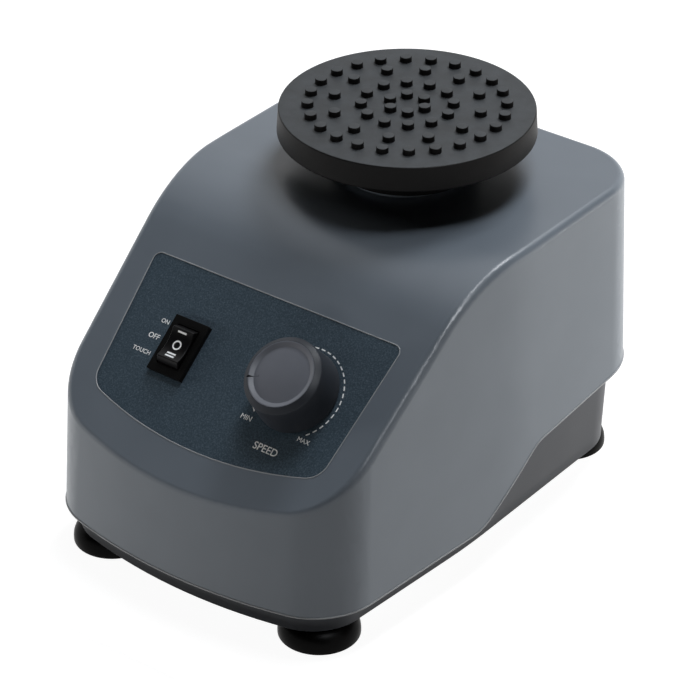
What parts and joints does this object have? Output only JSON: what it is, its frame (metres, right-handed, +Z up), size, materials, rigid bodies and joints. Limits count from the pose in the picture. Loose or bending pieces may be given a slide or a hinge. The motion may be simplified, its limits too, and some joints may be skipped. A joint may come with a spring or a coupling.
{
  "type": "vortex mixer",
  "caption": "Bench-top laboratory mixer with a pegged rubber platform that orbits without turning, a sloped panel with rocker switch and speed knob, and suction feet.",
  "frame": {"origin": "on the bench, under the middle of the housing", "axes": "+X to the right seen from the front, +Y to the rear, +Z up"},
  "size_m": [0.1398, 0.1897, 0.1415],
  "materials": {
    "housing_grey": "satin",
    "tub_grey": "satin",
    "label_blue": "fine texture",
    "foot_rubber": "satin",
    "platform_rubber": "matte",
    "black_plastic": "satin",
    "rocker_black": "semi-gloss",
    "knob_grey": "satin",
    "steel": "plain",
    "core_steel": "plain",
    "motor_paint": "satin",
    "aluminium": "plain",
    "bronze": "plain",
    "contact_brass": "plain",
    "winding_copper": "enamelled",
    "board_green": "satin",
    "component_black": "matte",
    "capacitor_yellow": "semi-gloss",
    "terminal_green": "matte",
    "plunger_red": "semi-gloss"
  },
  "bodies": {
    "housing": {"top_cover": "housing_grey", "base_tub": "tub_grey", "panel_label": "label_blue", "foot_front_left": "foot_rubber", "foot_front_right": "foot_rubber", "foot_rear_left": "foot_rubber", "foot_rear_right": "foot_rubber", "foot_screws": "steel", "cover_screws": "steel", "switch_body": "black_plastic", "switch_terminals": "contact_brass", "pot_body": "black_plastic", "pot_washer": "steel", "pot_nut": "steel", "mains_inlet": "black_plastic", "inlet_pins": "contact_brass", "control_board": "board_green", "board_screws": "steel", "heat_sink": "aluminium", "triac": "component_black", "suppressor_capacitor": "capacitor_yellow", "terminal_block": "terminal_green", "guide_posts": "steel", "post_clips": "steel", "lift_springs": "steel", "microswitch_body": "black_plastic", "microswitch_bracket": "steel"},
    "motor_carriage": {"motor_plate": "aluminium", "slide_bushes": "bronze", "motor_can": "motor_paint", "upper_end_bell": "aluminium", "lower_end_bell": "aluminium", "stator_core": "core_steel", "stator_windings": "winding_copper", "upper_bearing": "steel", "lower_bearing": "steel", "motor_screws": "steel", "guide_ring": "aluminium", "ring_standoffs": "steel", "ring_screws": "steel"},
    "crank": {"motor_shaft": "steel", "rotor_core": "core_steel", "eccentric_hub": "steel", "counterweight": "steel", "hub_set_screw": "steel", "crank_pin": "steel", "pin_clip": "steel"},
    "head": {"head_bearing": "steel", "bearing_circlip": "steel", "head_holder": "black_plastic", "platform": "platform_rubber", "guide_pins": "steel"},
    "knob": {"knob": "knob_grey", "pot_shaft": "steel"},
    "rocker": {"rocker": "rocker_black"},
    "plunger": {"microswitch_plunger": "plunger_red"}
  },
  "joints": [
    {"name": "touch_press", "type": "slide", "parent": "housing", "child": "motor_carriage", "axis": [0, 0, -1], "range_m": [0, 0.0018], "stiffness_N_per_m": 4000, "springref_m": -0.005, "deforming": ["lift_springs"]},
    {"name": "motor_spin", "type": "hinge", "parent": "motor_carriage", "child": "crank", "pos_m": [0, 0.036, 0.09], "axis": [0, 0, 1], "continuous": true},
    {"name": "head_orbit", "type": "hinge", "parent": "crank", "child": "head", "pos_m": [0, 0.03825, 0.122], "axis": [0, 0, 1], "continuous": true},
    {"name": "knob_turn", "type": "hinge", "parent": "housing", "child": "knob", "pos_m": [0.02565, -0.05614, 0.0801], "axis": [0, 0.6191, -0.7853], "range_deg": [-19.5, 250.5]},
    {"name": "rocker_tilt", "type": "hinge", "parent": "housing", "child": "rocker", "pos_m": [-0.024, -0.05709, 0.07808], "axis": [1, 0, 0], "range_deg": [-10, 10]},
    {"name": "plunger_press", "type": "slide", "parent": "housing", "child": "plunger", "axis": [0, 0, -1], "range_m": [0, 0.0018]}
  ],
  "couplings": [
    {"joint": "head_orbit", "follows": "motor_spin", "ratio": -1},
    {"joint": "plunger_press", "follows": "touch_press", "ratio": 1}
  ]
}
